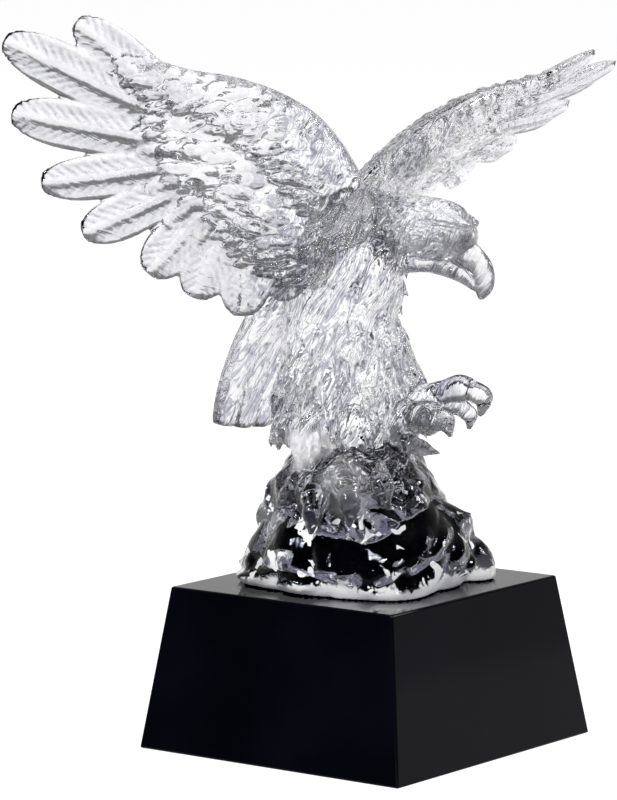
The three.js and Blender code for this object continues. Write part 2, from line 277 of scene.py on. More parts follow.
class Graph:
    """Adds nodes to a node tree, with one method for every kind."""

    def __init__(self, tree: bpy.types.NodeTree) -> None:
        """Keeps the tree that the nodes go into."""
        self.tree = tree

    def node(
        self, kind: str, settings: dict | None = None, inputs: dict | None = None
    ) -> bpy.types.Node:
        """Adds a node.

        Args:
            kind: the node's type name.
            settings: properties that are set first.
            inputs: values or links for its sockets, by name or place.

        Returns:
            The new node.
        """
        made = self.tree.nodes.new(kind)
        for name, value in (settings or {}).items():
            setattr(made, name, value)
        for name, value in (inputs or {}).items():
            target = self._socket(made, name)
            value = value.socket if isinstance(value, Signal) else value
            if isinstance(value, bpy.types.NodeSocket):
                self.tree.links.new(value, target)
            else:
                target.default_value = value
        return made

    @staticmethod
    def _socket(node: bpy.types.Node, name: str | int) -> bpy.types.NodeSocket:
        """The input by its place, or the enabled one by its name."""
        if isinstance(name, int):
            return node.inputs[name]
        return next(s for s in node.inputs if s.name == name and s.enabled)

    def signal(self, kind: str, output: str | int = 0, **parts: dict) -> "Signal":
        """A node's output, ready for Python expressions."""
        made = self.node(kind, parts.get("settings"), parts.get("inputs"))
        if isinstance(output, str):
            return Signal(self, next(s for s in made.outputs if s.name == output and s.enabled))
        return Signal(self, made.outputs[output])

    def noise(
        self, place: "Signal", scale: float, detail: float = 2.0, distortion: float = 0.0
    ) -> "Signal":
        """Noise over a piece, from 0 to 1.

        Args:
            place: a point on the piece.
            scale: how many of its swells fit in a metre.
            detail: how many finer layers lie over them.
            distortion: how far they are drawn into swirls.

        Returns:
            The noise.
        """
        sizes = {"Scale": scale, "Detail": detail, "Distortion": distortion}
        return self.signal("ShaderNodeTexNoise", inputs={"Vector": place, **sizes})

    def axis(self, place: "Signal", name: str) -> "Signal":
        """One coordinate of a place."""
        return self.signal("ShaderNodeSeparateXYZ", name, inputs={"Vector": place})

    def measure(self, operation: str, first: object, second: object) -> "Signal":
        """A number worked out from two vectors."""
        parts = {"settings": {"operation": operation}, "inputs": {0: first, 1: second}}
        return self.signal("ShaderNodeVectorMath", "Value", **parts)

    def stored(self, name: str) -> "Signal":
        """A number stored on the piece's points."""
        return self.signal("ShaderNodeAttribute", "Fac", settings={"attribute_name": name})

    def named(self, name: str, kind: str) -> "Signal":
        """An attribute that a geometry tree reads by its name."""
        parts = {"settings": {"data_type": kind}, "inputs": {"Name": name}}
        return self.signal("GeometryNodeInputNamedAttribute", "Attribute", **parts)

    def mix(self, share: "Signal", low: object, high: object) -> "Signal":
        """A colour between two others."""
        inputs = {"Factor": share, "A": low, "B": high}
        return self.signal("ShaderNodeMix", "Result", settings={"data_type": "RGBA"}, inputs=inputs)

    def bump(self, height: "Signal", strength: float, distance: float) -> "Signal":
        """A normal bent by a height."""
        inputs = {"Height": height, "Strength": strength, "Distance": distance}
        return self.signal("ShaderNodeBump", inputs=inputs)

    def principled(self, inputs: dict) -> "Signal":
        """A Principled shader."""
        return self.signal("ShaderNodeBsdfPrincipled", inputs=inputs)

    def blend(self, share: "Signal", first: "Signal", second: "Signal") -> "Signal":
        """Two shaders mixed."""
        return self.signal("ShaderNodeMixShader", inputs={0: share, 1: first, 2: second})

    def finish(self, shader: "Signal") -> None:
        """Leads a shader to the material's surface."""
        self.node("ShaderNodeOutputMaterial", inputs={"Surface": shader})


@dataclass
class Signal:
    """A socket that takes part in Python expressions."""

    graph: Graph
    socket: bpy.types.NodeSocket

    def _math(self, operation: str, first: object, second: object) -> "Signal":
        """A Math node on two values."""
        parts = {"settings": {"operation": operation}, "inputs": {0: first, 1: second}}
        return self.graph.signal("ShaderNodeMath", **parts)

    def __add__(self, other: object) -> "Signal":
        """Sum."""
        return self._math("ADD", self, other)

    def __radd__(self, other: object) -> "Signal":
        """Sum with the number first."""
        return self._math("ADD", other, self)

    def __sub__(self, other: object) -> "Signal":
        """Difference."""
        return self._math("SUBTRACT", self, other)

    def __rsub__(self, other: object) -> "Signal":
        """Difference with the number first."""
        return self._math("SUBTRACT", other, self)

    def __mul__(self, other: object) -> "Signal":
        """Product."""
        return self._math("MULTIPLY", self, other)

    def __rmul__(self, other: object) -> "Signal":
        """Product with the number first."""
        return self._math("MULTIPLY", other, self)

    def power(self, exponent: float) -> "Signal":
        """Power."""
        return self._math("POWER", self, exponent)

    def band(self, low: float, high: float) -> "Signal":
        """Smooth step from 0 at low to 1 at high."""
        return self.graph.signal(
            "ShaderNodeMapRange",
            settings={"interpolation_type": "SMOOTHSTEP"},
            inputs={"Value": self, "From Min": low, "From Max": high},
        )


def new_material(name: str) -> tuple[bpy.types.Material, Graph]:
    """An empty node material and its graph."""
    made = bpy.data.materials.new(name)
    made.use_nodes = True
    made.node_tree.nodes.clear()
    return made, Graph(made.node_tree)


@dataclass(frozen=True)
class Zones:
    """Masks of the casting's parts, each from 0 to 1, and the patterns that lie in them."""

    place: Signal
    level: Signal
    figure: Signal
    horn: Signal
    wings: Signal
    flow: Signal
    swirl: Signal


@dataclass(frozen=True)
class ClearCrystal:
    """Clear crystal: streaked, with painted shade in the figure's hollows, lines and barbs, a painted
    dark shade through the rock, and frosted at the rock's foot.

    Heights, reaches and bands are in millimetres; rock_top, frost_height and the third number of
    each cloudy patch are above the plinth's top. A cloudy patch is x, y, height, reach, strength.
    """

    tint: Row = (0.89, 0.89, 0.912, 1.0)
    # painted shade: the colour that hollows, lines and barbs are darkened towards
    painted_shade_tint: Row = (0.3, 0.3, 0.37, 1.0)
    glance: Row = (0.15, 0.15, 0.17, 1.0)
    pale_tint: Row = (0.97, 0.97, 0.98, 1.0)
    # painted shade: the dark colour given to the clear rock
    painted_rock_shade: Row = (0.11, 0.11, 0.15, 1.0)
    deep_glance: Row = (0.12, 0.12, 0.14, 1.0)
    frost_tint: Row = (0.96, 0.96, 0.975, 1.0)
    index: float = 1.55
    roughness: float = 0.012
    frost_roughness: float = 0.3
    frost_clearness: float = 0.55
    ripple: float = 0.0015
    bump_strength: float = 0.8
    streak: float = 4.2
    streak_scale: float = 175.0
    swirl_scale: float = 190.0
    grain_scale: float = 620.0
    drift_scale: float = 45.0
    spot_scale: float = 120.0
    body_run: Row = (0.39, 0.31, 0.87)
    right_run: Row = (-0.459, -0.763, 0.454)
    left_run: Row = (0.088, 0.932, 0.374)
    wing_band: tuple[float, float] = (30.0, 50.0)
    horn_band: tuple[float, float] = (33.0, 39.0)
    raised_foot_band: tuple[float, float] = (150.0, 165.0)
    # strengths of the painted shade lines on the body and on the wings
    body_painted_line: float = 1.0
    wing_painted_line: float = 0.14
    # painted shade between the barbs
    barb_painted_shade: float = 0.8
    painted_line_band: tuple[float, float] = (0.0, 0.0027)
    hollow_shade_band: tuple[float, float] = (0.0, 0.6)
    pale_band: tuple[float, float] = (0.59, 0.64)
    spot_band: tuple[float, float] = (0.635, 0.65)
    rock_top: float = 43.0
    rock_fade: float = 8.0
    line_fade: float = 18.0
    frost_height: float = 5.0
    frost_edge: tuple[float, float] = (0.8, 0.5)
    frost_wander: tuple[float, float] = (0.008, 0.012)
    cloudy: tuple[Row, ...] = ((-9, -23, 55, 13, 0.65), (14, -31, 43, 14, 0.25))

    def _streaks(self, graph: Graph, place: Signal, along: Row) -> Signal:
        """Swirls drawn out along one direction.

        Args:
            graph: the material's graph.
            place: a point on the piece.
            along: the direction in which they run.

        Returns:
            The swirls, from 0 to 1.
        """
        drawn = graph.signal(
            "ShaderNodeMapping",
            settings={"vector_type": "TEXTURE"},
            inputs={
                "Vector": place,
                "Rotation": Vector(along).to_track_quat("Z", "Y").to_euler(),
                "Scale": (1.0, 1.0, self.streak),
            },
        )
        return graph.noise(drawn, self.streak_scale, distortion=1.3)

    def _zones(self, graph: Graph) -> Zones:
        """Parts the casting into figure and rock, wings and body, horn and foot.

        Args:
            graph: the material's graph.

        Returns:
            The masks, the height, and the swirls that follow the body and the wings.
        """
        place = graph.signal("ShaderNodeTexCoord", "Object")
        across, level = graph.axis(place, "Y"), graph.axis(place, "Z")
        near, far = (edge * MM for edge in self.wing_band)
        right, left = (0 - across).band(near, far), across.band(near, far)
        runs = (self.body_run, self.right_run, self.left_run)
        body, outward, leftward = (self._streaks(graph, place, run) for run in runs)
        rise, fade = (Casting.seat + self.rock_top) * MM, self.rock_fade * MM
        return Zones(
            place=place,
            level=level,
            figure=level.band(rise - fade, rise + fade),
            horn=graph.axis(place, "X").band(*(edge * MM for edge in self.horn_band)),
            wings=right + left,
            flow=body * (1 - right - left) + outward * right + leftward * left,
            swirl=graph.noise(place, self.swirl_scale, distortion=1.4),
        )

    def _relief(self, graph: Graph, zones: Zones) -> Signal:
        """The normal, rippled along the streaks in the figure and faintly in the rock."""
        grain = graph.noise(zones.place, self.grain_scale, detail=1.0)
        smooth = (1 - 0.5 * zones.wings) * (1 - 0.55 * zones.horn)
        faint = (zones.swirl * 0.8 + grain * 0.2) * (0.2 - 0.2 * zones.figure)
        return graph.bump(faint + zones.flow * zones.figure * smooth, self.bump_strength, self.ripple)

    def _tint_with_painted_shade(self, graph: Graph, zones: Zones) -> Signal:
        """The figure's tint with painted shade: darker in hollows, along the streaks and between the
        barbs.

        Args:
            graph: the material's graph.
            zones: the casting's parts.

        Returns:
            The tint with its painted shade, paler on the raised foot.
        """
        foot = zones.horn * (1 - zones.level.band(*(edge * MM for edge in self.raised_foot_band)))
        # painted shade: thin dark lines where the streaks pass their middle value
        middle = zones.flow - 0.5
        painted_line = 1 - (middle * middle).band(*self.painted_line_band)
        rise = (Casting.seat + self.rock_top) * MM
        over = zones.level.band(rise + self.rock_fade * MM, rise + self.line_fade * MM)
        drawn = self.body_painted_line - (self.body_painted_line - self.wing_painted_line) * zones.wings
        # painted shade in the hollows, read from the skin's stored hollowness
        hollow = graph.stored("hollow").band(*self.hollow_shade_band) * (1 - 0.7 * zones.wings)
        painted_lines = painted_line * (over * (1 - 0.7 * zones.horn)) * drawn
        # painted shade: hollows, lines and barb grooves darken the tint
        dark = hollow + painted_lines + graph.stored("barbs") * self.barb_painted_shade
        return graph.mix(dark, graph.mix(foot, self.tint, self.pale_tint), self.painted_shade_tint)

    def _frost(self, graph: Graph, zones: Zones) -> Signal:
        """Share of frost: the ground foot, spots in the rock, and the cloudy patches.

        Args:
            graph: the material's graph.
            zones: the casting's parts.

        Returns:
            The share, from 0 to 1.
        """
        drift = graph.noise(zones.place, self.drift_scale)
        by_swirl, by_drift = self.frost_wander
        edge = zones.level + (zones.swirl - 0.5) * by_swirl + (drift - 0.5) * by_drift
        top = (Casting.seat + self.frost_height) * MM
        below, above = (part * MM for part in self.frost_edge)
        spots = graph.noise(zones.place, self.spot_scale, distortion=0.8).band(*self.spot_band)
        clearness = edge.band(top - below, top + above) * (1 - spots * (1 - zones.figure))
        for x, y, rise, reach, strength in self.cloudy:
            middle = (x * MM, y * MM, (Casting.seat + rise) * MM)
            away = graph.measure("DISTANCE", zones.place, middle)
            clearness = clearness * (1 - strength * (1 - away.band(0.5 * reach * MM, reach * MM)))
        return 1 - clearness

    def material(self) -> bpy.types.Material:
        """The finished material."""
        made, graph = new_material("clear_crystal")
        zones = self._zones(graph)
        bump = self._relief(graph, zones)
        # painted shade: the rock is tinted dark, broken by pale patches where the swirls rise
        depth = graph.mix(zones.swirl.band(*self.pale_band), self.painted_rock_shade, self.pale_tint)
        deep, clear = (
            graph.principled(
                {
                    "Base Color": colour,
                    "Roughness": self.roughness,
                    "IOR": self.index,
                    "Specular Tint": glance,
                    "Transmission Weight": 1.0,
                    "Normal": bump,
                }
            )
            for colour, glance in (
                (depth, self.deep_glance),
                (self._tint_with_painted_shade(graph, zones), self.glance),
            )
        )
        frosted = graph.principled(
            {
                "Base Color": self.frost_tint,
                "Roughness": self.frost_roughness,
                "IOR": self.index,
                "Transmission Weight": self.frost_clearness,
                "Normal": bump,
            }
        )
        cast = graph.blend(zones.figure, deep, clear)
        graph.finish(graph.blend(self._frost(graph, zones), cast, frosted))
        return made


@dataclass(frozen=True)
class GluedFace:
    """The casting's flat underside, glued down on black and so dark through the crystal."""

    shade: Row = (0.0006, 0.0006, 0.0022, 1.0)
    haze: Row = (0.002, 0.002, 0.006, 1.0)
    cloud_scale: float = 60.0

    def material(self) -> bpy.types.Material:
        """The finished material."""
        made, graph = new_material("glued_face")
        place = graph.signal("ShaderNodeTexCoord", "Object")
        colour = graph.mix(graph.noise(place, self.cloud_scale), self.shade, self.haze)
        inputs = {"Base Color": colour, "Roughness": 0.9, "Specular IOR Level": 0.0}
        graph.finish(graph.principled(inputs))
        return made


@dataclass(frozen=True)
class BlackGlass:
    """Opaque black glass polished to a mirror, with a trace of haze and hairline wear; its sides reflect
    far less than its top, painted shade that keeps them dark.
    """

    shade: Row = (0.0006, 0.0006, 0.0016, 1.0)
    haze: Row = (0.0016, 0.0016, 0.0034, 1.0)
    # painted shade: the sides reflect far less than the top, so they stay dark
    shaded_side_gloss: float = 0.05
    top_gloss: float = 0.45
    cloud_scale: float = 14.0
    wear_scale: float = 420.0
    top_edge: tuple[float, float] = (0.4, 0.2)

    def material(self) -> bpy.types.Material:
        """The finished material."""
        made, graph = new_material("black_glass")
        place = graph.signal("ShaderNodeTexCoord", "Object")
        cloud = graph.noise(place, self.cloud_scale, detail=3.0)
        colour = graph.mix(cloud.band(0.35, 0.75), self.shade, self.haze)
        bump = graph.bump(graph.noise(place, self.wear_scale), 0.02, 0.0001)
        sides, top = (
            graph.principled(
                {
                    "Base Color": colour,
                    "Roughness": 0.02 + 0.03 * cloud,
                    "IOR": 1.5,
                    "Specular IOR Level": gloss,
                    "Normal": bump,
                }
            )
            for gloss in (self.shaded_side_gloss, self.top_gloss)
        )
        # painted shade: the dim copy goes on the sides, the glossy one on the top
        low, high = ((Plinth.height - below) * MM for below in self.top_edge)
        graph.finish(graph.blend(graph.axis(place, "Z").band(low, high), sides, top))
        return made


@dataclass
class Tufts:
    """Small pointed locks set over a shell, each lying along the shell's flow."""

    hem = 55.0
    ripening = 10.0
    spacing: float
    length: float
    width: float
    depth: float
    lift: float = 0.12
    seed: int = 7

    def _tree(self) -> bpy.types.NodeTree:
        """The node tree, with named inputs for its sizes."""
        tree = bpy.data.node_groups.new("tufts", "GeometryNodeTree")
        face = tree.interface
        face.new_socket(name="Geometry", in_out="INPUT", socket_type="NodeSocketGeometry")
        for name in ("Spacing", "Length", "Width", "Depth", "Lift"):
            face.new_socket(name=name, in_out="INPUT", socket_type="NodeSocketFloat")
        face.new_socket(name="Seed", in_out="INPUT", socket_type="NodeSocketInt")
        face.new_socket(name="Material", in_out="INPUT", socket_type="NodeSocketMaterial")
        face.new_socket(name="Geometry", in_out="OUTPUT", socket_type="NodeSocketGeometry")
        graph = Graph(tree)
        given = {s.name: s for s in graph.node("NodeGroupInput").outputs}
        flow = graph.named("flow", "FLOAT_VECTOR")
        spread = graph.node(
            "GeometryNodeDistributePointsOnFaces",
            {"distribute_method": "POISSON"},
            {
                "Mesh": given["Geometry"],
                "Distance Min": given["Spacing"],
                "Density Max": 400000.0,
                "Seed": given["Seed"],
            },
        )
        ball = graph.node(
            "GeometryNodeMeshUVSphere", inputs={"Segments": 8, "Rings": 7, "Radius": 1.0}
        )
        place = graph.signal("GeometryNodeInputPosition", 0)
        parts = graph.node("ShaderNodeSeparateXYZ", inputs={"Vector": place})
        along = (Signal(graph, parts.outputs[0]) + 1.0) * 0.5
        narrow = 1.0 - 0.55 * along
        length, width, depth, lift = (
            Signal(graph, given[name]) for name in ("Length", "Width", "Depth", "Lift")
        )
        aside, above = (Signal(graph, parts.outputs[i]) * narrow for i in (1, 2))
        raised = along.power(2.0) * lift * length
        shaped = graph.signal(
            "ShaderNodeCombineXYZ",
            inputs={0: along * length, 1: aside * width * 0.5, 2: above * depth * 0.5 + raised},
        )
        lock = graph.node(
            "GeometryNodeSetPosition", inputs={"Geometry": ball.outputs["Mesh"], "Position": shaped}
        )
        heading = graph.signal(
            "FunctionNodeAlignRotationToVector", settings={"axis": "X"}, inputs={"Vector": flow}
        )
        laid = graph.signal(
            "FunctionNodeAlignRotationToVector",
            settings={"axis": "Z", "pivot_axis": "X"},
            inputs={"Rotation": heading, "Vector": spread.outputs["Normal"]},
        )
        growth = graph.named("growth", "FLOAT")
        grown = growth * graph.signal(
            "FunctionNodeRandomValue",
            "Value",
            settings={"data_type": "FLOAT"},
            inputs={"Min": 0.7, "Max": 1.25, "Seed": given["Seed"]},
        )
        ripe = graph.signal(
            "FunctionNodeCompare",
            "Result",
            settings={"data_type": "FLOAT", "operation": "GREATER_THAN"},
            inputs={"A": growth, "B": 0.15},
        )
        placed = graph.node(
            "GeometryNodeInstanceOnPoints",
            inputs={
                "Points": spread.outputs["Points"],
                "Selection": ripe,
                "Instance": lock.outputs["Geometry"],
                "Rotation": laid,
                "Scale": grown,
            },
        )
        real = graph.node("GeometryNodeRealizeInstances", inputs={"Geometry": placed.outputs[0]})
        dressed = graph.node(
            "GeometryNodeSetMaterial",
            inputs={"Geometry": real.outputs[0], "Material": given["Material"]},
        )
        graph.node("NodeGroupOutput", inputs={"Geometry": dressed.outputs[0]})
        return tree

    def grow(self, shell: Shell, material: bpy.types.Material) -> bpy.types.Object:
        """Grows the locks.

        Args:
            shell: the skin that they lie on.
            material: their finish.

        Returns:
            A plain mesh object of the locks.
        """
        ground = placed("ground", shell.mesh("ground"))
        modifier = ground.modifiers.new("tufts", "NODES")
        modifier.node_group = self._tree()
        values = {
            "Spacing": self.spacing * MM,
            "Length": self.length * MM,
            "Width": self.width * MM,
            "Depth": self.depth * MM,
            "Lift": self.lift,
            "Seed": self.seed,
            "Material": material,
        }
        for item in modifier.node_group.interface.items_tree:
            if item.in_out == "INPUT" and item.name in values:
                modifier[item.identifier] = values[item.name]
        return plain_copy(ground, "tufts")


@dataclass
class Rock:
    """The craggy mound, swept upside down from its top to its flat underside."""

    reach: float = 46.0
    swell: float = 0.09
    around: int = 8
    layers: int = 4
    boulder_bearing: float = 0.74
    boulder: tuple[Row, ...] = ((0.56, 27, 0.07), (0.73, 16, 0.15), (0.93, 5, 0.22), (0.91, -10, 0.22))
    corners: tuple[Row, ...] = (
        (-0.72, 0.3, 0.42, 4),
        (0.8, 0.05, 0.34, 6),
        (-2.5, 0.26, 0.42, 2.5),
        (2.3, 0.42, 0.7, 1.6),
    )
    courses: tuple[Row, ...] = (
        (60, 0.26, -0.04),
        (52, 0.56, -0.04),
        (43, 0.66, -0.045),
        (33, 0.73, -0.05),
        (22, 0.84, -0.035),
        (12, 0.96, -0.01),
        (3, 1.0, 0.0),
        (-9, 0.9, 0.0),
    )

    def _stones(self, height: np.ndarray, bearing: np.ndarray) -> np.ndarray:
        """Swell of staggered rounded stones."""
        course = height * self.layers + 0.3 * np.sin(bearing * 3 + 1)
        row = np.floor(course)
        turn = bearing / (2 * math.pi) * self.around
        along = turn + 0.45 * row + 0.25 * np.sin(turn * 2.1 + row * 1.7)
        across = 2 * np.abs(along - np.floor(along) - 0.5)
        upward = 2 * np.abs(course - row - 0.5)
        return 1 + self.swell * (1 - across**2) * (1 - upward**2)

    def _foot(self, place: np.ndarray, angle: np.ndarray) -> np.ndarray:
        """Swell of the foot's corners and of the stones."""
        bearing = np.arctan2(np.sin(angle), -np.cos(angle))
        foot = np.ones_like(place)
        for middle, swell, spread, low in self.corners:
            away = np.arctan2(np.sin(bearing - middle), np.cos(bearing - middle))
            foot = foot + swell * place**low * np.exp(-((away / spread) ** 2))
        wander = bearing * 5 + 1.6 * np.sin(place * 7 + 1)
        knobs = np.abs(np.sin(wander) * np.sin(place * 11 + 1.5 * np.sin(bearing * 3)))
        east = np.sin(bearing * 11 + 2 * np.sin(place * 9))
        cells = east * np.sin(place * 27 + 2 * np.sin(bearing * 4))
        pebbles = np.clip(cells - 0.45, 0, 1) ** 0.8
        return foot * self._stones(place, bearing) * (0.985 + 0.04 * knobs**0.6 + 0.05 * pebbles)

    def shells(self) -> list[Shell]:
        """The mound and the boulder beside it."""
        r = self.reach
        mound = Sweep(
            [(lean * r, lean * r, rise, b * r, b * r) for rise, b, lean in self.courses],
            (0, 1, 0),
            sides=200,
            steps=120,
            blunt=0.35,
            carve=self._foot,
            floor=0.0,
        )
        east, north = math.cos(self.boulder_bearing), math.sin(self.boulder_bearing)
        boulder = Sweep(
            [
                (out * r * east, out * r * north, rise, b * r, b * r)
                for out, rise, b in self.boulder
            ],
            (0, 1, 0),
            sides=48,
            steps=32,
            floor=0.0,
        )
        return [mound.shell(), boulder.shell()]


@dataclass
class WingShape:
    """Where a wing is rooted and how it spreads."""

    root: Row
    reach: Row
    drop: Row
    belly: float
    size: float
    bow: float


@dataclass
class Wing:
    """A raised wing: a fan of flight feathers, two rows of coverts, and the arm."""

    shape: WingShape
    wrist: float = 40.0
    start: float = 0.34
    depth: float = 2.7
    pitch: float = 4.3
    reach_out: float = 9.0
    feathers: tuple[Row, ...] = (
        (135, 60, 10),
        (116, 63, 10.4),
        (96, 59, 10.6),
        (75, 60, 10.4),
        (50, 72, 9),
        (32.5, 83, 8.6),
        (15.5, 96, 9.4),
        (1, 108, 9.6),
        (-11, 88, 8.8),
    )
    coverts: tuple[tuple, ...] = (
        (7, 126, 0, 0.2, (46, 37, 50), 8.8, 4.6),
        (5, 130, 8, 0.2, (33, 24, 34), 8.4, 6.2),
    )
    arm: tuple[Row, ...] = (
        (-14, 4, 16, 11),
        (8, -3, 18, 10),
        (28, -12, 16, 8.5),
        (52, -14, 13.5, 6.5),
        (78, -11, 10.5, 5),
        (106, -13, 6, 3),
    )
    pad: tuple[Row, ...] = (
        (-12, 26, 15, 10),
        (12, 20, 17, 8),
        (38, 9, 18, 6.5),
        (60, 3, 16, 5.5),
        (80, 0, 12, 4.5),
    )
    axes: tuple[np.ndarray, np.ndarray, np.ndarray] = field(init=False)

    def __post_init__(self) -> None:
        """Works out the wing's own directions."""
        reach = unit(np.asarray(self.shape.reach, float))
        drop = np.asarray(self.shape.drop, float)
        drop = unit(drop - reach * (drop @ reach))
        self.axes = (reach, drop, np.cross(reach, drop) * self.shape.belly)

    def place(self, along: float, down: float, out: float) -> np.ndarray:
        """A place on the figure from distances along, down and out of the wing."""
        reach, drop, belly = self.axes
        bowed = out + self.shape.bow * (along / 100) ** 2
        moved = reach * along + drop * down + belly * bowed
        return np.asarray(self.shape.root, float) + moved * self.shape.size

    def _ridge(self, place: np.ndarray, run: float, aside: np.ndarray) -> np.ndarray:
        """Height of the slanting barbs, from 0 between them to 1."""
        wave = (place * run - 1.3 * aside + 0.5 * np.sin(place * 9)) / self.pitch
        return np.abs(np.sin(math.pi * wave)) ** 0.7

    def _feather(self, turn: float, length: float, width: float, depth: float, start: float) -> Shell:
        """One paddle with its raised shaft and slanting barbs.

        Args:
            turn: its heading about the wrist, from 0 along the arm to 90 straight down.
            length: from the wrist to its tip.
            width: half its width.
            depth: half its depth.
            start: the share of its length where it leaves the arm.

        Returns:
            The feather's skin.
        """
        heading = math.radians(turn)
        outline = ((0.0, 0.7, 0.0), (0.35, 0.95, 0.6), (0.7, 1.06, 0.9), (1.0, 0.9, -0.6))
        size = self.shape.size
        stations = []
        for at, wide, out in outline:
            reached = length * (start + (1 - start) * at)
            along = self.wrist + math.cos(heading) * reached
            down = math.sin(heading) * reached
            thin = 1.0 - 0.34 * at**2 * (depth > self.depth)
            stations.append((*self.place(along, down, out), width * wide * size, depth * thin * size))
        run = length * (1 - start) * size

        def barbs(place: np.ndarray, lateral: np.ndarray) -> np.ndarray:
            """Relief of the shaft, the groove beside it and the barbs."""
            aside = np.abs(lateral)
            shaft = 0.9 * (1.1 - place) * np.exp(-((lateral / 1.1) ** 2))
            ridge = self._ridge(place, run, aside)
            inner = smoothstep(aside, 0.9, 2.4) * (1 - smoothstep(aside, width * 0.6, width * 0.8))
            margin = 0.55 * np.exp(-(((aside - width * 0.86) / 1.7) ** 2))
            return shaft + 1.15 * (ridge - 0.7) * inner - 0.5 * inner + margin

        return Sweep(stations, self.axes[2], sides=52, steps=72, keel=1.1, relief=barbs).shell()

    def shells(self) -> list[Shell]:
        """Every feather of the fan and of the coverts."""
        made = [self._feather(*row, self.depth, self.start) for row in self.feathers]
        for count, first, last, start, lengths, width, depth in self.coverts:
            for i in range(count):
                across = i / (count - 1)
                turn = first + (last - first) * across
                inner, middle, outer = lengths
                near, far = inner + (middle - inner) * across, middle + (outer - middle) * across
                made.append(self._feather(turn, near + (far - near) * across, width, depth, start))
        return made

    def grooves(self, points: np.ndarray) -> np.ndarray:
        """Grooves between the barbs and beside the shafts of the flight feathers.

        Args:
            points: places on the casting, in millimetres above the plinth's top.

        Returns:
            How deep each point lies in a groove, from 0 to 1.
        """
        size = self.shape.size
        away = (points - np.asarray(self.shape.root, float)) / size
        along, down, out = (away @ axis for axis in self.axes)
        flat = np.abs(out - self.shape.bow * (along / 100) ** 2) < self.reach_out
        nearest, depth = np.ones(len(points)), np.zeros(len(points))
        for turn, length, width in self.feathers:
            heading = math.radians(turn)
            ahead = (along - self.wrist) * math.cos(heading) + down * math.sin(heading)
            aside = np.abs(down * math.cos(heading) - (along - self.wrist) * math.sin(heading))
            place = (ahead / length - self.start) / (1 - self.start)
            here = flat & (aside / width < nearest) & (place > 0.12) & (place < 1)
            run = length * (1 - self.start) * size
            barb = 1 - self._ridge(place, run, aside * size)
            inner = smoothstep(aside, 0.9, 2.4) * (1 - smoothstep(aside, width * 0.68, width * 0.84))
            shaft = 0.8 * np.exp(-(((aside - 1.3) / 0.6) ** 2)) * (1 - place)
            depth[here] = np.maximum(barb * inner, shaft)[here]
            nearest[here] = (aside / width)[here]
        return depth

    def flesh(self) -> list[Shell]:
        """The arm and the pad below it."""
        made = []
        size = self.shape.size
        nap = (0.9, tuple(self.axes[1] * 0.7))
        for form in (self.arm, self.pad):
            rows = [(*self.place(r, d, 0), w * size, t * size) for r, d, w, t in form]
            made.append(Sweep(rows, self.axes[2], sides=48, steps=48, nap=nap).shell())
        return made


@dataclass
class Body:
    """Trunk, shoulders and the large pointed locks of the neck, breast and thighs."""

    trunk: tuple[Row, ...] = (
        (-4, 0, 42, 20, 22),
        (-8, 0, 58, 27, 28),
        (-10, 0, 76, 25, 26),
        (-11.5, 0, 94, 22.5, 23.5),
        (-9.5, 0, 112, 21, 21.5),
        (-2, 2, 128, 19, 21),
        (7, 5, 139, 14, 16),
        (15, 8, 147, 11, 11),
    )
    back: tuple[Row, ...] = (
        (-8, -20, 148, 12, 11),
        (-6, -8, 143, 16, 14),
        (-6, 8, 144, 16, 14),
        (-10, 24, 152, 13, 11),
        (-12, 36, 160, 9, 7),
    )
    rows: tuple[tuple, ...] = (
        ((5, 4, 139), 8, 10, (-6, 13, -17)),
        ((-4, 2, 124), 8, 14.5, (-5, 18.5, -19)),
        ((-8.5, 0, 107), 8, 17.5, (-2, 23, -21)),
        ((-10.5, 0, 90), 9, 19, (0, 25.5, -22)),
        ((-9.5, 0, 73), 8, 21.5, (1, 27.5, -21)),
    )

    def flesh(self) -> list[Shell]:
        """The trunk and the shoulders."""
        down = (-1.0, (0.0, 0.25, -0.2))
        return [
            Sweep(self.trunk, (1, 0.1, 0.3), sides=64, steps=64, blunt=0.4, nap=down).shell(),
            Sweep(self.back, (0, 0, 1), sides=40, steps=40, nap=(0.1, (-0.5, 0, -1))).shell(),
        ]

    def shells(self) -> list[Shell]:
        """The rows of large locks."""
        made = []
        for level, ((x, y, z), around, reach, (shift, spread, fall)) in enumerate(self.rows):
            for i in range(around):
                bearing = (i + (level % 2) / 2) / around * 2 * math.pi
                out = np.array([math.cos(bearing), math.sin(bearing), 0.0])
                half = (reach + spread) / 2 + 1.5
                made.append(
                    Sweep(
                        [
                            (x + out[0] * reach, y + out[1] * reach, z + 3, 5, 2.4),
                            (x + shift / 2 + out[0] * half, y + out[1] * half, z + fall * 0.5, 6.4, 2.8),
                            (x + shift + out[0] * spread, y + out[1] * spread, z + fall, 2, 1.6),
                        ],
                        tuple(out),
                        sides=20,
                        steps=24,
                        blunt=0.7,
                        nap=(1.0, (0.0, 0.2, 0.0)),
                    ).shell()
                )
        return made


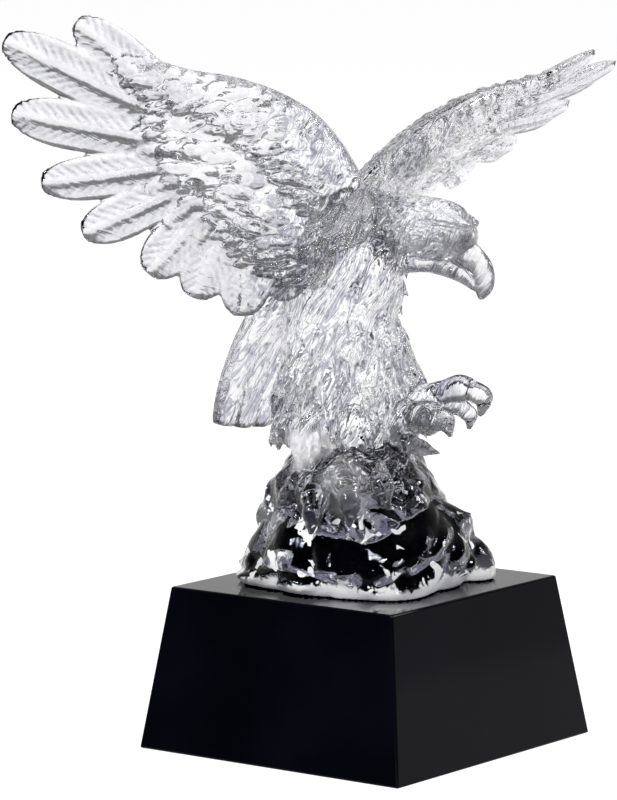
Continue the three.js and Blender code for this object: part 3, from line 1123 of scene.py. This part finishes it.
@dataclass
class Head:
    """Skull, brows, eyes and the hooked beak."""

    left: tuple[float, float, float] = (-0.34, 0.94, 0.0)
    skull: tuple[Row, ...] = (
        (8, 5, 144, 9, 10),
        (19, 9, 143, 12, 12.2),
        (30, 13, 141, 12, 12),
        (39, 16.4, 140, 9, 9.4),
        (42.8, 17.7, 141, 6, 4.4),
    )
    beak: tuple[Row, ...] = (
        (30, 13, 133, 6.5, 7),
        (36.4, 15.2, 132.8, 6, 6),
        (41.4, 17, 130.4, 5, 4.8),
        (44.8, 18.3, 125, 4, 4.9),
        (45.6, 18.6, 119, 3.2, 4.5),
        (44.2, 18.1, 113.6, 1.8, 2.4),
    )
    jaw: tuple[Row, ...] = (
        (11, 5.6, 126, 6, 6),
        (20, 9, 128.6, 7, 5),
        (29.5, 12.4, 127, 6, 4),
        (38.5, 15.7, 122.4, 4, 3),
        (43, 17.5, 117.4, 2.6, 2),
    )
    eye: float = 2.7

    def beside(self, x: float, y: float, z: float, out: float, wide: float, deep: float) -> Row:
        """A station set to one side of the head's middle."""
        return (x + self.left[0] * out, y + self.left[1] * out, z, wide, deep)

    def flesh(self) -> list[Shell]:
        """The skull, which carries small tufts."""
        return [Sweep(self.skull, (0, 0, 1), sides=56, steps=48, nap=(-1.0, (0, 0, -0.25))).shell()]

    def shells(self) -> list[Shell]:
        """Beak, jaw, brows and eyes."""

        def hook(place: np.ndarray, angle: np.ndarray) -> np.ndarray:
            """A step behind the horn of the beak, and a ridge along its top."""
            cere = 0.1 * np.exp(-(((place - 0.38) / 0.05) ** 2))
            ridge = 0.07 * np.exp(-(((angle - math.pi / 2) / 0.35) ** 2))
            return 1 + cere + ridge * smoothstep(place, 0.36, 0.5)

        made = [
            Sweep(self.beak, (0.94, 0.34, 0.5), sides=48, steps=56, blunt=0.6, carve=hook).shell(),
            Sweep(self.jaw, (0, 0, 1), sides=36, steps=32).shell(),
        ]
        for side in (-1, 1):
            brow = [
                self.beside(18, 8, 147.5, 8 * side, 3, 2.4),
                self.beside(30, 13, 146.5, 10 * side, 3.6, 2.8),
                self.beside(42.2, 17.5, 143, 5 * side, 3.2, 2.4),
            ]
            made.append(Sweep(brow, (0, 0, 1), sides=24, steps=28).shell())
            ball = [
                self.beside(31, 13.4, 140 + self.eye, 9.8 * side, self.eye, self.eye),
                self.beside(31, 13.4, 140 - self.eye, 9.8 * side, self.eye, self.eye),
            ]
            made.append(Sweep(ball, (1, 0.3, 0), sides=24, steps=20, blunt=1.0).shell())
        return made


@dataclass
class Tail:
    """A fan of square-ended feathers that hangs behind the legs."""

    count: int = 5
    lateral: tuple[float, float] = (0.14, 0.99)
    path: tuple[Row, ...] = (
        (-26, 0, 118, 7, 6, 9),
        (-42, 1, 98, 8, 4.6, 13),
        (-50, 2, 77, 8, 3.8, 17.5),
        (-54, 2, 57.5, 7.4, 3.2, 21),
    )
    face: Row = (-1, 0.1, -0.4)
    web: tuple[Row, ...] = (
        (-28, 0, 114, 13, 6),
        (-42, 1, 97, 19, 4),
        (-50, 2, 77, 23.5, 3),
        (-54, 2, 59, 26.5, 2.4),
    )

    def shells(self) -> list[Shell]:
        """The feathers and the web that joins them."""

        def barbs(place: np.ndarray, lateral: np.ndarray) -> np.ndarray:
            """Relief of the shaft and the barbs."""
            aside = np.abs(lateral)
            shaft = 0.8 * np.exp(-((lateral / 1.0) ** 2))
            ridge = np.abs(np.sin(math.pi * (place * 66 - 1.3 * aside) / 4.4)) ** 0.8
            inner = smoothstep(aside, 0.8, 2.0) * (1 - smoothstep(aside, 5.0, 7.0))
            return shaft + 0.8 * (ridge - 0.8) * inner

        made = []
        for i in range(self.count):
            across = i / (self.count - 1) * 2 - 1
            rows = [
                (
                    x + self.lateral[0] * across * spread,
                    y + self.lateral[1] * across * spread,
                    z + 2.5 * across**2,
                    wide,
                    deep,
                )
                for x, y, z, wide, deep, spread in self.path
            ]
            feather = Sweep(rows, self.face, sides=44, steps=64, blunt=0.2, keel=1.2, relief=barbs)
            made.append(feather.shell())
        made.append(Sweep(self.web, self.face, sides=40, steps=40, blunt=0.16).shell())
        return made


@dataclass
class Legs:
    """The right leg stands on the rock, and the left one reaches out with open talons."""

    thighs: tuple[tuple[Row, ...], ...] = (
        ((-8, -10, 102, 12, 13), (-14, -15, 84, 12, 13), (-19, -18, 68, 9, 9)),
        ((-6, 10, 98, 12, 13), (5.5, 10, 83, 11, 12), (14, 9, 70, 8, 8)),
    )
    shank: tuple[Row, ...] = ((-18, -18, 68, 6.5, 6.5), (-9, -23, 53, 6.5, 6.5), (4, -26, 44, 7, 7))
    toes: tuple[tuple[Row, ...], ...] = (
        (
            (10, 8, 66, 7, 7),
            (21, 10, 72, 6, 6),
            (32, 12, 77, 5.4, 5.4),
            (42, 13, 78.6, 5, 5),
            (48.5, 14, 75, 4.4, 4.4),
            (47, 14, 68, 2, 2),
        ),
        (
            (8, 5, 65, 8, 8),
            (19, 4, 66, 7.4, 7.4),
            (30, 3, 67, 6.4, 6.4),
            (38, 3, 66, 4.6, 4.6),
            (41, 3, 60.5, 1.6, 1.6),
        ),
        (
            (8, 12, 66, 6, 6),
            (18, 18, 70, 5, 5),
            (26, 23, 71, 4.6, 4.6),
            (33, 26, 66, 3.6, 3.6),
            (33, 26, 60, 1.4, 1.4),
        ),
        ((6, 4, 62, 6, 6), (14, 2, 58, 5, 5), (25, 1, 56, 4, 4), (37, 1, 54, 1.2, 1.2)),
        ((4, -26, 46, 6.5, 6.5), (13, -32, 46, 5.6, 5.6), (21, -37, 40, 5, 5), (24, -41, 29, 1.8, 1.8)),
        ((4, -25, 47, 6.5, 6.5), (17, -24, 51, 5.4, 5.4), (28, -26, 46, 5, 5), (34, -29, 35, 1.8, 1.8)),
        ((2, -27, 45, 6.5, 6.5), (4, -36, 42, 5.4, 5.4), (7, -42, 35, 4.8, 4.8), (8, -45, 25, 1.8, 1.8)),
        ((2, -25, 44, 6, 6), (-10, -29, 41, 5, 5), (-18, -33, 33, 1.8, 1.8)),
    )

    def flesh(self) -> list[Shell]:
        """The feathered thighs."""
        nap = (1.0, (0, 0, -0.3))
        return [Sweep(rows, (0, 1, 0), sides=44, steps=44, nap=nap).shell() for rows in self.thighs]

    def shells(self) -> list[Shell]:
        """The shank and the knuckled toes with their claws."""

        def knuckles(place: np.ndarray, angle: np.ndarray) -> np.ndarray:
            """Swell of the knuckles, with fine scutes over the top of each toe."""
            scutes = np.abs(np.sin(place * 40)) * np.clip(np.sin(angle), 0, 1)
            return 1 + 0.1 * np.cos(place * 24) + 0.05 * scutes * (1 - place)

        made = [Sweep(self.shank, (0, 1, 0), sides=36, steps=36).shell()]
        for rows in self.toes:
            toe = Sweep(rows, (0, 0, 1), sides=32, steps=56, blunt=0.45, carve=knuckles)
            made.append(toe.shell())
        return made


@dataclass
class Casting:
    """The eagle and its rock, cast as one in clear crystal."""

    seat = 65.3
    voxel: float = 0.75
    triangles: int = 190000
    near: WingShape = field(
        default_factory=lambda: WingShape(
            (-2, -14.4, 152.7), (-0.459, -0.763, 0.454), (-0.338, -0.322, -0.884), 1, 1, -4
        )
    )
    far: WingShape = field(
        default_factory=lambda: WingShape(
            (-4, 16, 158), (0.088, 0.932, 0.374), (-0.703, 0.309, -0.641), -1, 0.95, 8
        )
    )

    def build(self) -> bpy.types.Object:
        """Builds the casting as one closed mesh.

        Returns:
            The dressed piece.
        """
        crystal = ClearCrystal().material()
        body, head, legs = Body(), Head(), Legs()
        wings = [Wing(self.near), Wing(self.far)]
        arms = [shell for wing in wings for shell in wing.flesh()]
        feathered = [*body.flesh(), *legs.flesh(), *body.shells()]
        shells = [*Rock().shells(), *Tail().shells(), *head.shells(), *legs.shells(), *head.flesh()]
        for wing in wings:
            shells += wing.shells()
        shells += feathered + arms
        cast = placed("cast", Shell.joined(shells).mesh("cast"))
        coats = [
            tufts.grow(Shell.joined(skins), crystal)
            for tufts, skins in (
                (Tufts(spacing=3.0, length=11, width=3.4, depth=2.6), feathered),
                (Tufts(spacing=2.6, length=6, width=2.6, depth=1.5), head.flesh()),
                (Tufts(spacing=4.2, length=9.5, width=5.4, depth=3.4, lift=0.11), arms),
            )
        ]
        LOG.info("casting: %d skins and %d coats of tufts", len(shells), len(coats))
        piece = self._fuse(cast, coats, crystal)
        self._mark_barbs(piece.data, wings)
        return piece

    def _mark_barbs(self, mesh: bpy.types.Mesh, wings: list[Wing]) -> None:
        """Stores the depth of the grooves between the feathers' barbs on the skin's points."""
        points = read(mesh.vertices, "co") / MM - (0, 0, self.seat)
        # the groove depth sets the crystal's painted shade between the barbs
        store(mesh, "barbs", np.maximum(*(wing.grooves(points) for wing in wings)))

    def _fuse(
        self, cast: bpy.types.Object, coats: list[bpy.types.Object], crystal: bpy.types.Material
    ) -> bpy.types.Object:
        """Melts every skin into one and dresses it.

        Args:
            cast: the bare skins.
            coats: the tufts that lie on them.
            crystal: the casting's finish.

        Returns:
            The dressed piece.
        """
        with bpy.context.temp_override(
            active_object=cast, object=cast, selected_editable_objects=[cast, *coats]
        ):
            bpy.ops.object.join()
        remesh = cast.modifiers.new("melt", "REMESH")
        remesh.mode = "VOXEL"
        remesh.voxel_size = self.voxel * MM
        smooth = cast.modifiers.new("polish", "SMOOTH")
        smooth.factor = 0.5
        smooth.iterations = 2
        molten = plain_copy(cast, "molten")
        count = sum(len(p.vertices) - 2 for p in molten.data.polygons)
        thin = molten.modifiers.new("thin", "DECIMATE")
        thin.ratio = min(1.0, self.triangles / count)
        piece = plain_copy(molten, "eagle_casting")
        self._mark_hollows(piece.data)
        self._dress(piece.data, crystal)
        LOG.info("casting: %d faces from %d", len(piece.data.polygons), count)
        return piece

    @staticmethod
    def _mark_hollows(mesh: bpy.types.Mesh) -> None:
        """Stores the skin's hollowness, one over the radius in millimetres, on its points."""
        count = len(mesh.vertices)
        places, normals = read(mesh.vertices, "co") / MM, read(mesh.vertex_normals, "vector")
        ends = np.zeros(len(mesh.edges) * 2, np.int32)
        mesh.edges.foreach_get("vertices", ends)
        first, last = ends.reshape(-1, 2).T
        reach = np.bincount(first, minlength=count) + np.bincount(last, minlength=count)

        def around(at_first: np.ndarray, at_last: np.ndarray) -> np.ndarray:
            """Mean over the edges that meet at each point."""
            return (np.bincount(first, at_first, count) + np.bincount(last, at_last, count)) / reach

        gap = places[last] - places[first]
        square = np.maximum((gap**2).sum(1), 1e-4)
        hollow = around(
            2 * (gap * normals[first]).sum(1) / square, -2 * (gap * normals[last]).sum(1) / square
        )
        for _ in range(2):
            hollow = 0.5 * hollow + 0.5 * around(hollow[last], hollow[first])
        LOG.info("casting: hollows %s", np.percentile(hollow, (5, 25, 50, 75, 95)).round(2))
        # the hollowness sets where the crystal's painted shade falls
        store(mesh, "hollow", hollow)

    def _dress(self, mesh: bpy.types.Mesh, crystal: bpy.types.Material) -> None:
        """Gives the skin its crystal and the underside its glued face."""
        mesh.materials.clear()
        mesh.materials.append(crystal)
        mesh.materials.append(GluedFace().material())
        mesh.shade_smooth()
        facing, height = read(mesh.polygons, "normal")[:, 2], read(mesh.polygons, "center")[:, 2]
        under = (facing < -0.9) & (height < (self.seat + 0.5) * MM)
        mesh.polygons.foreach_set("material_index", under.astype(np.int32))
        mesh.update()


@dataclass
class Plinth:
    """A square block of black glass, narrower at the top, with polished edges."""

    top: float = 110.0
    foot: float = 129.0
    height: float = 65.0
    edge: float = 0.9

    def build(self) -> bpy.types.Object:
        """Builds the plinth.

        Returns:
            The dressed piece.
        """
        corners = [(-1, -1), (1, -1), (1, 1), (-1, 1)]
        levels = ((0.0, self.foot / 2), (self.height, self.top / 2))
        places = [(x * half * MM, y * half * MM, z * MM) for z, half in levels for x, y in corners]
        faces = [(3, 2, 1, 0), (4, 5, 6, 7)]
        faces += [(i, (i + 1) % 4, (i + 1) % 4 + 4, i + 4) for i in range(4)]
        mesh = bpy.data.meshes.new("plinth_block")
        mesh.from_pydata(places, [], faces)
        mesh.update()
        block = placed("block", mesh)
        bevel = block.modifiers.new("edge", "BEVEL")
        bevel.width = self.edge * MM
        bevel.segments = 4
        piece = plain_copy(block, "plinth_block")
        piece.data.materials.clear()
        piece.data.materials.append(BlackGlass().material())
        piece.data.shade_smooth()
        for polygon in piece.data.polygons:
            polygon.use_smooth = polygon.area < 1e-4
        LOG.info("plinth: %d faces", len(piece.data.polygons))
        return piece


@dataclass
class Studio:
    """A white table, soft light all round and the camera at the photograph's angle."""

    lens: float = 202.5
    distance: float = 1.789
    aim: float = 0.13805
    aside: float = -0.0218
    azimuth: float = 38.0
    elevation: float = 7.67
    roll: float = -0.48

    def build(self) -> None:
        """Builds the table, the light and the camera."""
        self._table()
        self._sky()
        self._lights()
        self._camera()

    def _table(self) -> None:
        """A pale table that fills the background."""
        half = 60.0
        mesh = bpy.data.meshes.new("table")
        corners = [(-half, -half), (half, -half), (half, half), (-half, half)]
        mesh.from_pydata([(x, y, -0.0002) for x, y in corners], [], [(0, 1, 2, 3)])
        table = placed("table", mesh)
        made, graph = new_material("pale_table")
        body = graph.principled(
            {
                "Base Color": (0.25, 0.25, 0.25, 1.0),
                "Roughness": 0.9,
                "Emission Color": (1.0, 1.0, 1.0, 1.0),
                "Emission Strength": 0.92,
            }
        )
        graph.finish(body)
        mesh.materials.append(made)

    def _sky(self) -> None:
        """Even white light with one darker side, which keeps the plinth's left face black."""
        world = bpy.data.worlds.new("studio")
        world.use_nodes = True
        world.node_tree.nodes.clear()
        graph = Graph(world.node_tree)
        heading = graph.signal("ShaderNodeTexCoord", "Generated")
        away, across = (-0.61, 0.785, 0.0), (0.61, 0.785, 0.0)
        facing = graph.measure("DOT_PRODUCT", heading, across)
        behind = graph.measure("DOT_PRODUCT", heading, away)
        level = graph.axis(heading, "Z")
        wall = 0.3 + 0.7 * behind.band(-0.2, 0.6)
        low = 1.0 - level.band(0.12, 0.24)
        left_side = 1.0 - 0.985 * (0.0 - facing).band(0.88, 0.95) * low
        strength = (1.0 - 0.75 * level.band(0.05, 0.3)) * wall * left_side
        sky = graph.signal(
            "ShaderNodeBackground", inputs={"Color": (1.0, 1.0, 1.0, 1.0), "Strength": strength}
        )
        graph.node("ShaderNodeOutputWorld", inputs={"Surface": sky})
        bpy.context.scene.world = world

    def _lights(self) -> None:
        """Three soft boxes that leave highlights on the crystal."""
        for name, place, size, power in (
            ("key", (-0.5, -1.6, 1.3), 0.36, 55.0),
            ("fill", (1.5, -0.9, 1.2), 0.26, 24.0),
            ("rim", (1.3, 1.2, 1.1), 0.4, 20.0),
        ):
            lamp = bpy.data.lights.new(name, "AREA")
            lamp.size = size
            lamp.energy = power
            holder = placed(name, lamp)
            holder.location = place
            aim = Vector((0, 0, 0.2)) - Vector(place)
            holder.rotation_euler = aim.to_track_quat("-Z", "Y").to_euler()

    def _camera(self) -> None:
        """The long lens of the photograph."""
        turn, tilt = math.radians(self.azimuth), math.radians(self.elevation)
        back = Vector(
            (math.sin(turn) * math.cos(tilt), -math.cos(turn) * math.cos(tilt), math.sin(tilt))
        )
        right = Vector((math.cos(turn), math.sin(turn), 0))
        data = bpy.data.cameras.new("camera")
        data.lens = self.lens
        data.sensor_width = 36.0
        data.clip_end = 200.0
        camera = placed("camera", data)
        spot = back * self.distance + right * self.aside + Vector((0, 0, self.aim))
        facing = (-back).to_track_quat("-Z", "Y").to_matrix().to_4x4()
        rolled = facing @ Matrix.Rotation(math.radians(self.roll), 4, "Z")
        camera.matrix_world = Matrix.Translation(spot) @ rolled
        bpy.context.scene.camera = camera


def stand_for(piece: bpy.types.Object, node: Node) -> None:
    """Puts a finished piece in its node's place."""
    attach(piece, "root")
    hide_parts(node.value)


def main() -> None:
    """Builds the piece, its plinth and the studio."""
    logging.basicConfig(level=logging.INFO)
    bpy.context.scene.view_settings.view_transform = "Standard"
    Studio().build()
    stand_for(Plinth().build(), Node.PLINTH)
    stand_for(Casting().build(), Node.EAGLE)


if __name__ == "__main__":
    main()
